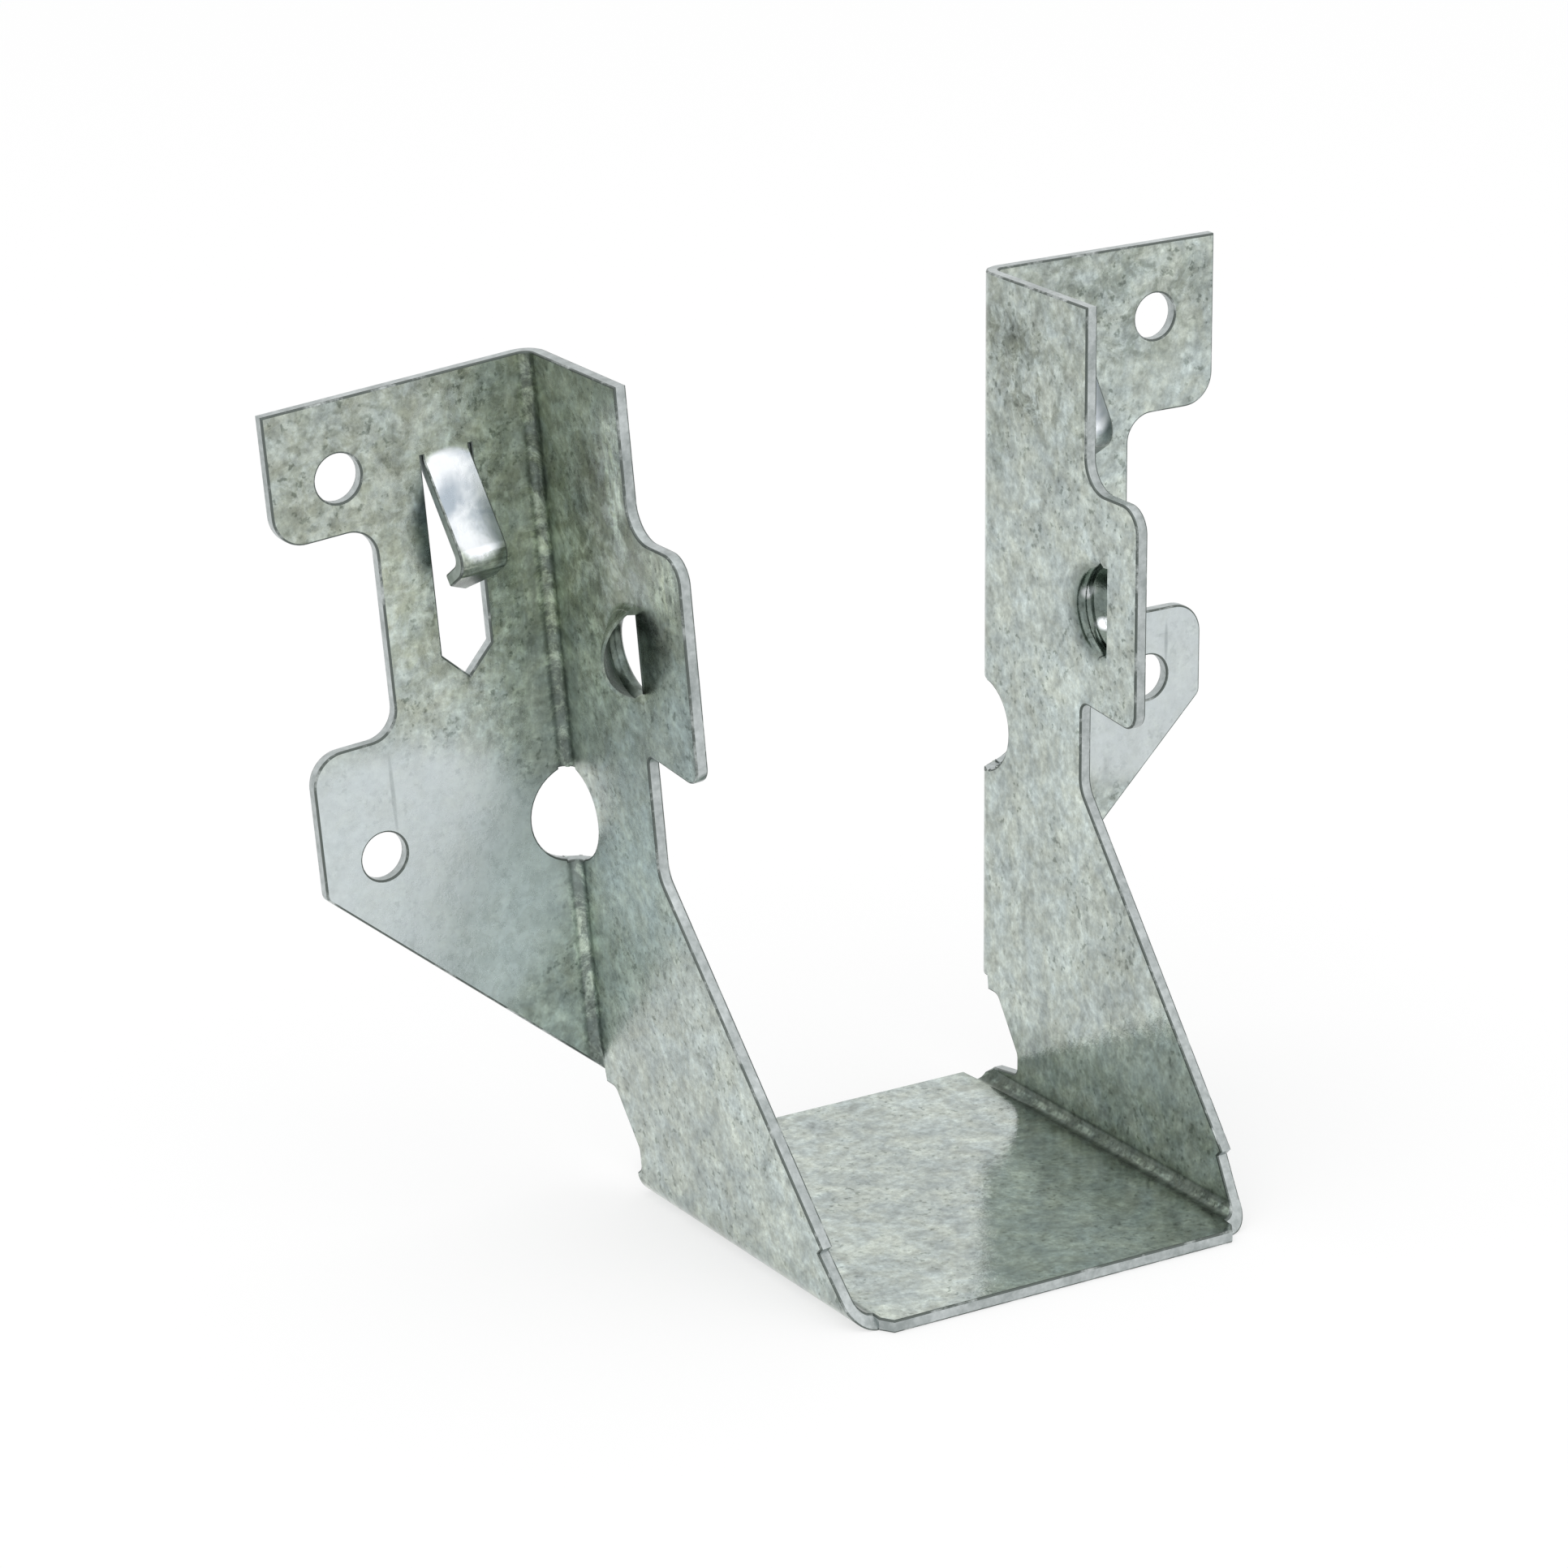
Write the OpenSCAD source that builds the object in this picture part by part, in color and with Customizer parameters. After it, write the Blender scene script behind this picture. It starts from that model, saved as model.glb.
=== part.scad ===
// Face-mount joist hanger, punched and folded from one sheet of galvanised steel.
// The seat carries the joist between two side plates, and a flange stands out of each
// plate and is nailed flat on the header. Nailing domes in the plates guide slanting
// nails through the joist, and a hooked prong in each flange holds the hanger while it is set.
// The origin is at the middle of the seat's upper face. +Y is towards the header, +Z is up.
// The right-hand side, at +X, is drawn first. The left-hand side is its mirror image.

/* [Sheet] */
// Thickness of the sheet
sheet_t = 1.2; // [0.8:0.1:1.6]
// Inside radius of the upright folds between plates and flanges
flange_fold_r = 1; // [0.5:0.1:1.5]
// Inside radius of the lower folds between seat and plates
seat_fold_r = 1.2; // [0.6:0.1:2]

/* [Joist pocket] */
// Clear width between the side plates
joist_w = 39.7; // [36:0.1:46]
// Overall height
hanger_h = 79.4; // [78:0.1:90]
// Depth of the seat in front of the header
seat_l = 44.5; // [43:0.5:60]
// Outward lean of the right-hand plate
lean_right = 0; // [0:0.1:6]
// Outward lean of the left-hand plate
lean_left = 4.9; // [0:0.1:6]

/* [Seat corners] */
// How far the front corners are cut back from the joist's faces
front_cut_w = 2; // [1.5:0.1:4]
// Depth of the front corner cuts at the lower folds
front_cut_l = 1.2; // [0.5:0.1:2.5]
// Depth of the front corner cuts at the side plates
front_cut_up_l = 3.4; // [3:0.1:4]
// Depth of the right-hand back corner cut at the side plate
back_cut_right_l = 3.2; // [1:0.1:4]
// Depth of the left-hand back corner cut, square across the lower fold
back_cut_left_l = 6.4; // [1:0.1:6.5]
// How far the left-hand back corner is cut back from the lower fold
back_cut_left_w = 2; // [0.5:0.1:4]

/* [Side plates] */
// Depth of the plates' upper strip
strip_l = 17.6; // [15:0.1:20]
// Depth of the tabs
tab_l = 25.7; // [24:0.1:32]
// Height of the right-hand tab's upper edge
tab_high = 62.7; // [60:0.1:66]
// Height of the right-hand tab's lower edge
tab_low = 42.7; // [40:0.1:46]
// How much higher the left-hand tab stands
tab_rise = 3.2; // [0:0.1:5]
// Drop of a tab's lower edge towards its front
tab_drop = 0.8; // [0:0.1:1.5]
// Depth of the neck below the tabs
neck_l = 17.2; // [14:0.1:19]
// Height at which the neck turns into the sloping edge
neck_low = 34.4; // [30:0.1:37]
// Depth of a plate's lower front corner
toe_l = 39.8; // [36:0.1:42]
// Height of a plate's lower front corner
toe_h = 6.6; // [5.5:0.1:9]
// Small step under the lower front corner
toe_step = 0.6; // [0.2:0.1:1]
// Depth of the notch between the upright fold and the seat
heel_l = 7.2; // [5:0.1:10]
// Depth of the notch's upper end
heel_top_l = 3.8; // [3.5:0.1:4.5]
// Height of the upright fold's lower end
heel_h = 10; // [8.5:0.1:11]
// Height at which the notch turns from upright to slanting
heel_middle_h = 5; // [4.5:0.1:6]
// Height of the notch's lower edge
heel_low_h = 3; // [2.8:0.1:3.5]

/* [Header flanges] */
// Reach of the upper ears from the joist's face
upper_ear_w = 25.7; // [24:0.1:32]
// Reach of the lower ears from the joist's face
lower_ear_w = 24.8; // [22:0.1:30]
// Reach of the flange between its ears
waist_w = 16.2; // [14:0.1:18]
// Lower edge of the right-hand upper ear
upper_ear_low = 63.2; // [60:0.1:66]
// Upper edge of the right-hand lower ear
lower_ear_high = 43.9; // [41:0.1:50]
// How much higher the left-hand notch between the ears stands
notch_rise = 4.1; // [0:0.1:5]
// Height of the lower ears' outer corner
lower_ear_low = 34.8; // [30:0.1:38]
// Height at which the flanges' slanting lower edge meets the fold
flange_low = 11.3; // [11:0.1:14]
// How much of the left-hand plate's depth its upright fold gives to the flange instead
left_shift = 1.4; // [0:0.1:2]

/* [Holes] */
// Diameter of the header nail holes
nail_d = 4.4; // [3.5:0.1:5]
// Distance of the upper nail holes from the joist's face
upper_nail_w = 19.1; // [17.5:0.1:21]
// Height of the upper nail holes
upper_nail_h = 72.4; // [70:0.1:74]
// Distance of the lower nail holes from the joist's face
lower_nail_w = 18.8; // [17:0.1:20]
// Height of the lower nail holes
lower_nail_h = 37.3; // [35:0.1:39]
// Diameter of the relief holes on the upright folds
relief_d = 9; // [7:0.1:11]
// Height of the relief holes
relief_h = 36.2; // [34:0.1:40]

/* [Nailing domes] */
// Inside radius of the domes at the plate's outer face
dome_r = 4.2; // [3:0.1:5]
// Inside height of the domes over the plate's outer face
dome_h = 3; // [2:0.1:4]
// Thickness of the stretched metal in the domes
dome_t = 0.8; // [0.5:0.1:1.2]
// Fillet round the foot of the domes
dome_foot_r = 0.8; // [0.4:0.1:1.2]
// Depth of the shallow dish in front of the domes
dish_l = 0.9; // [0.3:0.1:1.5]
// Distance of the right-hand dome's mouth from its tab's front edge
dome_back_right = 4.5; // [4.2:0.1:9]
// Distance of the left-hand dome's mouth from its tab's front edge
dome_back_left = 8.2; // [4.2:0.1:9]

/* [Prongs] */
// Width of the prongs
prong_w = 4.6; // [3:0.1:5]
// Clearance between a prong and each side of its slot
prong_gap = 0.15; // [0.05:0.05:0.5]
// Distance of the slots' middle from the joist's face
slot_middle_w = 8.6; // [7.5:0.1:10]
// Height of the slots' upper end
slot_high = 72.4; // [68:0.1:74]
// Height of the slots' pointed lower end
slot_low = 51.6; // [48:0.1:54]
// Lean of a prong's upper leg out of the flange
prong_lean = 34; // [25:1:45]
// Length of a prong's upper leg
prong_leg_l = 8.4; // [5:0.1:10]
// Length of the prong's pointed return leg
prong_return_l = 4.3; // [3:0.1:6]
// Inside radius at the prong's root and knee
prong_bend_r = 0.8; // [0.5:0.1:1.5]

/* [Corner radii] */
// Outer corners of the ears
ear_r = 3; // [1:0.1:4]
// Hollow corners between ears and flange
ear_fillet_r = 2.6; // [1:0.1:3.5]
// Upper front corner of the tabs
tab_r = 2.4; // [1:0.1:4]
// Lower front corner of the tabs
tab_tip_r = 1.6; // [0.5:0.1:2.5]
// Hollow corner above the tabs
tab_fillet_r = 3; // [1:0.1:4]
// Small corners of the neck, heel and lower ears
small_r = 1; // [0.5:0.1:1.2]
// Lower corner of the notch between the upright fold and the seat
heel_r = 0.8; // [0.4:0.1:1]

/* [Hidden] */

$fn = 64;

// Overshoot of cutting shapes past the faces that they cut
over = 1;

joist_face = joist_w / 2;
flange_fold_out = flange_fold_r + sheet_t;
seat_fold_out = seat_fold_r + sheet_t;
seat_fold_x = joist_face - seat_fold_r;
flange_fold_x = joist_face + flange_fold_out;
// Half of an upright fold's length along the middle of the sheet
half_fold_l = (flange_fold_out + flange_fold_r) / 2 * PI / 4;
prong_tip_l = prong_w / 2;
slot_w = prong_w + 2 * prong_gap;

function unit(v) = v / norm(v);

// Points of the arc of radius r that rounds the corner at p, between the edges from a and to b
function corner_arc(a, p, b, r) =
    let (
        to_a = unit(a - p),
        to_b = unit(b - p),
        half = acos(to_a * to_b) / 2,
        centre = p + unit(to_a + to_b) * r / sin(half),
        start = p + to_a * r / tan(half) - centre,
        sweep = (180 - 2 * half) * sign(cross(p - a, b - p)),
        steps = ceil(abs(sweep) / 360 * $fn)
    )
    [for (i = [0:steps]) let (angle = atan2(start[1], start[0]) + sweep * i / steps)
        centre + r * [cos(angle), sin(angle)]];

// Outline through corners of [across, up, radius], listed anticlockwise
module rounded_outline(corners) {
    n = len(corners);
    points = [for (c = corners) [c[0], c[1]]];
    polygon([for (i = [0:n - 1]) each corners[i][2] == 0 ? [points[i]]
        : corner_arc(points[(i + n - 1) % n], points[i], points[(i + 1) % n], corners[i][2])]);
}

// Section of a fold about the origin, between two directions less than half a turn apart
module fold_section(inside_r, from, to) {
    outside_r = inside_r + sheet_t;
    intersection() {
        difference() {
            circle(outside_r);
            circle(inside_r);
        }
        polygon([[0, 0], for (a = [from, (from + to) / 2, to]) 2 * outside_r * [cos(a), sin(a)]]);
    }
}

// Raises a shape drawn as [depth in front of the header, height] across X
module across_plate(from, to) {
    translate([to, 0, 0]) rotate([90, 0, -90]) linear_extrude(to - from) children();
}

// Raises a shape drawn as [distance from the middle, height] through the flange
module through_flange() {
    translate([0, over, 0]) rotate([90, 0, 0]) linear_extrude(sheet_t + 2 * over) children();
}

// Leans a side outwards about the centre of its lower fold
module leaned(angle) {
    translate([seat_fold_x, 0, seat_fold_out]) rotate([0, angle, 0])
        translate([-seat_fold_x, 0, -seat_fold_out]) children();
}

// Flat seat between the lower folds, with its front corners and its left-hand back corner cut
module seat() {
    corner_x = joist_face - front_cut_w;
    linear_extrude(sheet_t) polygon([
        [-corner_x, -seat_l],
        [corner_x, -seat_l],
        [seat_fold_x, front_cut_l - seat_l],
        [seat_fold_x, 0],
        [back_cut_left_w - seat_fold_x, 0],
        [-seat_fold_x, -back_cut_left_l],
        [-seat_fold_x, front_cut_l - seat_l]
    ]);
}

// Section of a side plate, its upright fold and its flange
module angle_section(reach) {
    translate([joist_face, -seat_l]) square([sheet_t, seat_l - flange_fold_out]);
    translate([flange_fold_x, -flange_fold_out]) fold_section(flange_fold_r, 90, 180);
    translate([flange_fold_x, -sheet_t]) square([reach - flange_fold_out, sheet_t]);
}

// Outline of a side plate and its lower fold, as [depth, height]
module plate_outline(rise, shift, fold_back, seat_back) {
    rounded_outline([
        [-over, hanger_h + over, 0],
        [-over, heel_h, 0],
        [heel_top_l, heel_h, small_r],
        [heel_l, heel_middle_h, small_r],
        [heel_l, heel_low_h, heel_r],
        [fold_back, seat_fold_out, 0],
        [seat_back, 0, 0],
        [seat_back, -over, 0],
        [seat_l - front_cut_l, -over, 0],
        [seat_l - front_cut_l, 0, 0],
        [seat_l - front_cut_up_l, seat_fold_out, 0],
        [toe_l - shift - toe_step, toe_h - toe_step, 0],
        [toe_l - shift, toe_h, 0],
        [neck_l - shift, neck_low, ear_r],
        [neck_l - shift, tab_low + rise, small_r],
        [tab_l - shift, tab_low + rise - tab_drop, tab_tip_r],
        [tab_l - shift, tab_high + rise, tab_r],
        [strip_l - shift, tab_high + rise, tab_fillet_r],
        [strip_l - shift, hanger_h + over, 0]
    ]);
}

// Outline of a flange, as [distance from the middle, height]
module flange_outline(shift, rise) {
    edge = joist_face + shift;
    rounded_outline([
        [joist_face - over, flange_low, 0],
        [joist_face + sheet_t, flange_low, 0],
        [edge + lower_ear_w, lower_ear_low, small_r],
        [edge + lower_ear_w, lower_ear_high + rise, ear_r],
        [edge + waist_w, lower_ear_high + rise, ear_fillet_r],
        [edge + waist_w, upper_ear_low + rise, ear_fillet_r],
        [edge + upper_ear_w, upper_ear_low + rise, ear_r],
        [edge + upper_ear_w, hanger_h + over, 0],
        [joist_face - over, hanger_h + over, 0]
    ]);
}

// Hole punched over an upright fold: round on the plate and round on the flange
module relief_hole() {
    across_plate(joist_face - over, flange_fold_x)
        translate([flange_fold_out - half_fold_l, relief_h]) circle(d = relief_d);
    through_flange() translate([flange_fold_x - half_fold_l, relief_h]) circle(d = relief_d);
}

// Pointed slot that a prong is lanced from
module prong_slot(shift) {
    middle = joist_face + shift + slot_middle_w;
    through_flange() polygon([
        [middle - slot_w / 2, slot_high],
        [middle - slot_w / 2, slot_low + slot_w / 2],
        [middle, slot_low],
        [middle + slot_w / 2, slot_low + slot_w / 2],
        [middle + slot_w / 2, slot_high]
    ]);
}

// Hooked prong: root bend, upper leg, knee and pointed return leg
module prong(shift) {
    middle = joist_face + shift + slot_middle_w;
    root = prong_bend_r + sheet_t;
    intersection() {
        across_plate(middle - prong_w / 2, middle + prong_w / 2) translate([root, slot_high]) {
            fold_section(prong_bend_r, 180, 180 + prong_lean);
            rotate(prong_lean) {
                translate([-root, -prong_leg_l]) square([sheet_t, prong_leg_l]);
                translate([-root - prong_bend_r, -prong_leg_l]) {
                    fold_section(prong_bend_r, -90, 0);
                    translate([-prong_return_l, -root]) square([prong_return_l, sheet_t]);
                }
            }
        }
        prong_point(middle, root);
    }
}

// Wedge that keeps a prong's return leg to its point, square to that leg
module prong_point(middle, root) {
    tip = -root - prong_bend_r - prong_return_l;
    top = root + prong_leg_l + slot_w;
    translate([middle, -root, slot_high]) rotate([-prong_lean, 0, 0])
        translate([0, 0, -root - prong_leg_l - over]) linear_extrude(top + root + over) polygon([
            [0, -tip],
            [-prong_w, -tip - prong_w],
            [-prong_w, -top],
            [prong_w, -top],
            [prong_w, -tip - prong_w]
        ]);
}

// Puts a shape drawn about a nailing dome's axis on the plate: X back, Y up, Z outwards
module at_dome(rise, back) {
    translate([joist_face, back - tab_l, (tab_high + tab_low) / 2 + rise]) rotate([90, 0, 90])
        children();
}

// Wall of a nailing dome, as [radius, height over the joist's face]
module dome_profile() {
    inside_r = (pow(dome_r, 2) + pow(dome_h, 2)) / (2 * dome_h);
    outside_r = inside_r + dome_t;
    sunk = inside_r - dome_h;
    foot_x = sqrt(pow(outside_r + dome_foot_r, 2) - pow(sunk + dome_foot_r, 2));
    difference() {
        union() {
            translate([0, sheet_t]) intersection() {
                translate([0, -sunk]) circle(outside_r);
                square(outside_r);
            }
            translate([0, sheet_t / 2]) square([foot_x, sheet_t / 2]);
            difference() {
                translate([0, sheet_t]) polygon([[0, 0], [foot_x, 0], [foot_x, dome_foot_r], [dome_r, dome_foot_r]]);
                translate([foot_x, sheet_t + dome_foot_r]) circle(dome_foot_r);
            }
        }
        translate([0, sheet_t - sunk]) circle(inside_r);
        square([dome_r, sheet_t]);
    }
}

// Wall of the dish that leads the nail into a dome
module dish_profile() {
    bowl_r = (pow(dome_r, 2) + pow(dish_l, 2)) / (2 * dish_l);
    lap = dome_t / 4;
    difference() {
        intersection() {
            translate([0, bowl_r - dish_l]) circle(bowl_r);
            translate([0, -dish_l]) square([dome_r + lap, dish_l + sheet_t]);
        }
        translate([0, bowl_r - dish_l + sheet_t]) circle(bowl_r);
    }
}

// Half dome pressed outwards behind its mouth, and half dish pressed inwards in front of it
module nailing_dome() {
    rotate([0, 0, -90]) rotate_extrude(angle = 180) dome_profile();
    rotate([0, 0, 90]) rotate_extrude(angle = 180) dish_profile();
}

// Lower fold between the seat and a side that leans outwards
module lower_fold(lean) {
    translate([seat_fold_x, 0, seat_fold_out]) rotate([90, 0, 0]) linear_extrude(seat_l)
        fold_section(seat_fold_r, lean - 90, 0);
}

// One side: the folded sheet cut to its outlines, punched and formed
module side(lean, shift, fold_back, seat_back, tab_up, notch_up, dome_back) {
    reach = upper_ear_w + left_shift;
    difference() {
        intersection() {
            union() {
                lower_fold(lean);
                translate([0, 0, seat_fold_out]) linear_extrude(hanger_h - seat_fold_out) angle_section(reach);
            }
            across_plate(0, joist_face + reach + over) plate_outline(tab_up, shift, fold_back, seat_back);
            union() {
                translate([0, -seat_l, 0]) cube([joist_face + sheet_t, seat_l - flange_fold_out, hanger_h]);
                rotate([90, 0, 0]) linear_extrude(flange_fold_out) flange_outline(shift, notch_up);
            }
        }
        for (at = [[upper_nail_w, upper_nail_h], [lower_nail_w, lower_nail_h]])
            through_flange() translate([joist_face + shift + at[0], at[1]]) circle(d = nail_d);
        relief_hole();
        prong_slot(shift);
        at_dome(tab_up, shift + dome_back) translate([0, 0, -over])
            cylinder(r = dome_r, h = sheet_t + 2 * over);
    }
    at_dome(tab_up, shift + dome_back) nailing_dome();
    prong(shift);
}

module hanger() {
    color([0.64, 0.68, 0.66]) translate([0, seat_l / 2, -sheet_t]) {
        seat();
        leaned(lean_right) side(lean_right, 0, back_cut_right_l, 0, 0, 0, dome_back_right);
        mirror([1, 0, 0]) leaned(lean_left) side(lean_left, left_shift, back_cut_left_l, back_cut_left_l,
            tab_rise, notch_rise, dome_back_left);
    }
}

hanger();
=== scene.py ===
"""Dresses a packed joist hanger: galvanised sheet, sheared edges, pale floor, soft light and camera."""

import logging
import math
from dataclasses import dataclass, field
from enum import Enum
from functools import reduce

import bpy
from mathutils import Matrix, Vector
from mathutils.bvhtree import BVHTree


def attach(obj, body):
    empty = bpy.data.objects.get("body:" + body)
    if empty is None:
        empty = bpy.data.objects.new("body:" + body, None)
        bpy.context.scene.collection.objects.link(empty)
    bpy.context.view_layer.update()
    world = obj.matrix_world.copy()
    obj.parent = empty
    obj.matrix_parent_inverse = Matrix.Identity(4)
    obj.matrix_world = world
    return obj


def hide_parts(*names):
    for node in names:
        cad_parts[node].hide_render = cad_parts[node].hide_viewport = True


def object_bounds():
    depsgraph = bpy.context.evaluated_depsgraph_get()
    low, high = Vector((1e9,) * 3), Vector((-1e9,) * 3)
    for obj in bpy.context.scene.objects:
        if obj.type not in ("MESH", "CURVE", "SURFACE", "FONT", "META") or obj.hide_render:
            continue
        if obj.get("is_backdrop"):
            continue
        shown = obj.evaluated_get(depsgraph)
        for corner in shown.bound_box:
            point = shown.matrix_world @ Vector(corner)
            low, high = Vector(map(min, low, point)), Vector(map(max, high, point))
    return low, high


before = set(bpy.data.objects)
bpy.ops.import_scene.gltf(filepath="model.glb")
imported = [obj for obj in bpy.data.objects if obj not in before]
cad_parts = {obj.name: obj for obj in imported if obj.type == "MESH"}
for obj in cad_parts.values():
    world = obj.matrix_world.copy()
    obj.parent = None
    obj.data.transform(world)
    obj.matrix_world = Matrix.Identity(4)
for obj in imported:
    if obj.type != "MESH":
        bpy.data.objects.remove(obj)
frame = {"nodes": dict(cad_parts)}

LOG = logging.getLogger("joist_hanger")
MM = 0.001
SHEET_SLOT, CUT_SLOT, EASED_SLOT = 0, 1, 2
KEEP_SLOT = -1
# How far off a surface a place may lie, in millimetres, and still be neither before nor behind it.
EDGE_ON = 0.05

Colour = tuple[float, float, float]
Place = tuple[float, float, float]
Span = tuple[float, float]


class Ramp(Enum):
    """How a factor passes from one level to the next."""

    SOFT = "SMOOTHSTEP"
    STRAIGHT = "LINEAR"


class Blend(Enum):
    """How one colour is laid over another."""

    MIX = "MIX"
    MULTIPLY = "MULTIPLY"


@dataclass(frozen=True)
class Pattern:
    """Cloudy noise with its contrast: it is 0 below the low level and 1 above the high level."""

    per_mm: float
    detail: float
    roughness: float
    low: float
    high: float
    distortion: float = 0.0
    stretch: Place = (1.0, 1.0, 1.0)
    way: Ramp = Ramp.STRAIGHT


def deselect_all() -> None:
    """Leaves nothing selected and nothing in edit mode."""
    if bpy.context.object and bpy.context.object.mode != "OBJECT":
        bpy.ops.object.mode_set(mode="OBJECT")
    bpy.ops.object.select_all(action="DESELECT")


def make_active(obj: bpy.types.Object) -> None:
    """Selects one object by itself and makes it the active one.

    Args:
        obj: The object that the next operators act on.
    """
    deselect_all()
    obj.select_set(True)
    bpy.context.view_layer.objects.active = obj


def bevel_edges(
    sheet: bpy.types.Object, edges: set[int], width: float, segments: int, material: int = KEEP_SLOT
) -> None:
    """Rounds some edges of a mesh.

    Args:
        sheet: The active object, in object mode.
        edges: The indices of the edges.
        width: How wide the rounding is.
        segments: How many strips it is made of.
        material: The material slot of the new faces, or KEEP_SLOT for their neighbours'.
    """
    bpy.ops.object.mode_set(mode="EDIT")
    bpy.ops.mesh.select_mode(type="EDGE")
    bpy.ops.mesh.select_all(action="DESELECT")
    bpy.ops.object.mode_set(mode="OBJECT")
    for edge in sheet.data.edges:
        edge.select = edge.index in edges
    bpy.ops.object.mode_set(mode="EDIT")
    bpy.ops.mesh.bevel(
        offset=width, segments=segments, affect="EDGES", material=material, loop_slide=False
    )
    bpy.ops.object.mode_set(mode="OBJECT")


class ShaderBench:
    """A material's node tree, with short methods that add wired nodes.

    Patterns are laid out in millimetres on the piece's own coordinates. Each is made once, however often
    it is asked for.
    """

    def __init__(self, name: str) -> None:
        """Starts a material that holds its output and the piece's coordinates.

        Args:
            name: The material's name.
        """
        self.material = bpy.data.materials.new(name)
        self.material.use_nodes = True
        self.tree = self.material.node_tree
        self.tree.nodes.clear()
        self.output = self.tree.nodes.new("ShaderNodeOutputMaterial")
        coordinates = self.tree.nodes.new("ShaderNodeTexCoord")
        in_mm = self.tree.nodes.new("ShaderNodeMapping")
        in_mm.inputs["Scale"].default_value = (1 / MM, 1 / MM, 1 / MM)
        self.link(coordinates.outputs["Object"], in_mm.inputs["Vector"])
        self.place = in_mm.outputs["Vector"]
        axes = self.tree.nodes.new("ShaderNodeSeparateXYZ")
        self.link(self.place, axes.inputs["Vector"])
        self.back = axes.outputs["Y"]
        self.normal = coordinates.outputs["Normal"]
        self.made: dict[Pattern, bpy.types.NodeSocket] = {}

    def link(self, source: bpy.types.NodeSocket, target: bpy.types.NodeSocket) -> None:
        """Wires one socket to another."""
        self.tree.links.new(source, target)

    def feed(self, socket: bpy.types.NodeSocket, value: object) -> None:
        """Wires a socket, or sets its value where a plain value is given.

        Args:
            socket: The input that is fed.
            value: Another node's output, a number or a colour.
        """
        if isinstance(value, bpy.types.NodeSocket):
            self.link(value, socket)
        elif isinstance(value, tuple) and len(value) == 3 and socket.type == "RGBA":
            socket.default_value = (*value, 1.0)
        else:
            socket.default_value = value

    def stretched(self, scale: Place) -> bpy.types.NodeSocket:
        """Scales the piece's coordinates along each axis.

        Args:
            scale: The factor along X, Y and Z.

        Returns:
            The scaled coordinates.
        """
        node = self.tree.nodes.new("ShaderNodeMapping")
        node.inputs["Scale"].default_value = scale
        self.link(self.place, node.inputs["Vector"])
        return node.outputs["Vector"]

    def noise(
        self,
        per_mm: float,
        detail: float,
        roughness: float,
        distortion: float = 0.0,
        place: bpy.types.NodeSocket | None = None,
    ) -> bpy.types.NodeSocket:
        """Adds cloudy noise.

        Args:
            per_mm: How many features it has to a millimetre.
            detail: How many finer layers it has.
            roughness: How strong the finer layers are.
            distortion: How much it swirls.
            place: The coordinates, or None for the piece's own.

        Returns:
            The noise's factor, from 0 to 1.
        """
        node = self.tree.nodes.new("ShaderNodeTexNoise")
        node.inputs["Scale"].default_value = per_mm
        node.inputs["Detail"].default_value = detail
        node.inputs["Roughness"].default_value = roughness
        node.inputs["Distortion"].default_value = distortion
        self.link(place or self.place, node.inputs["Vector"])
        return node.outputs["Fac"]

    def pattern(self, pattern: Pattern) -> bpy.types.NodeSocket:
        """Adds noise with its contrast, or finds it where it was added before.

        Args:
            pattern: The noise and its levels.

        Returns:
            The pattern's factor, from 0 to 1.
        """
        if pattern not in self.made:
            noise = self.noise(
                pattern.per_mm,
                pattern.detail,
                pattern.roughness,
                pattern.distortion,
                self.stretched(pattern.stretch),
            )
            self.made[pattern] = self.ramp(noise, pattern.low, pattern.high, pattern.way)
        return self.made[pattern]

    def crystals(self, per_mm: float, place: bpy.types.NodeSocket) -> bpy.types.NodeSocket:
        """Adds a pattern of cells, each with one grey of its own, as zinc crystals have.

        Args:
            per_mm: How many cells it has to a millimetre.
            place: The coordinates.

        Returns:
            The grey of the cell.
        """
        node = self.tree.nodes.new("ShaderNodeTexVoronoi")
        node.inputs["Scale"].default_value = per_mm
        self.link(place, node.inputs["Vector"])
        grey = self.tree.nodes.new("ShaderNodeSeparateColor")
        self.link(node.outputs["Color"], grey.inputs["Color"])
        return grey.outputs["Red"]

    def ramp(
        self, factor: bpy.types.NodeSocket, low: float, high: float, way: Ramp = Ramp.STRAIGHT
    ) -> bpy.types.NodeSocket:
        """Turns a factor into 0 below one level and 1 above another.

        Args:
            factor: The factor that is read.
            low: The level that gives 0.
            high: The level that gives 1.
            way: How it passes between them.

        Returns:
            The new factor.
        """
        node = self.tree.nodes.new("ShaderNodeMapRange")
        node.interpolation_type = way.value
        node.clamp = True
        self.feed(node.inputs["Value"], factor)
        node.inputs["From Min"].default_value = low
        node.inputs["From Max"].default_value = high
        return node.outputs["Result"]

    def math(self, kind: str, first: object, second: object) -> bpy.types.NodeSocket:
        """Works out one value from two.

        Args:
            kind: The operation, such as ADD.
            first: A socket or number.
            second: A socket or number.

        Returns:
            The result.
        """
        node = self.tree.nodes.new("ShaderNodeMath")
        node.operation = kind
        self.feed(node.inputs[0], first)
        self.feed(node.inputs[1], second)
        return node.outputs["Value"]

    def product(self, *factors: object) -> bpy.types.NodeSocket:
        """Multiplies two or more sockets or numbers."""
        return reduce(lambda first, second: self.math("MULTIPLY", first, second), factors)

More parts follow.
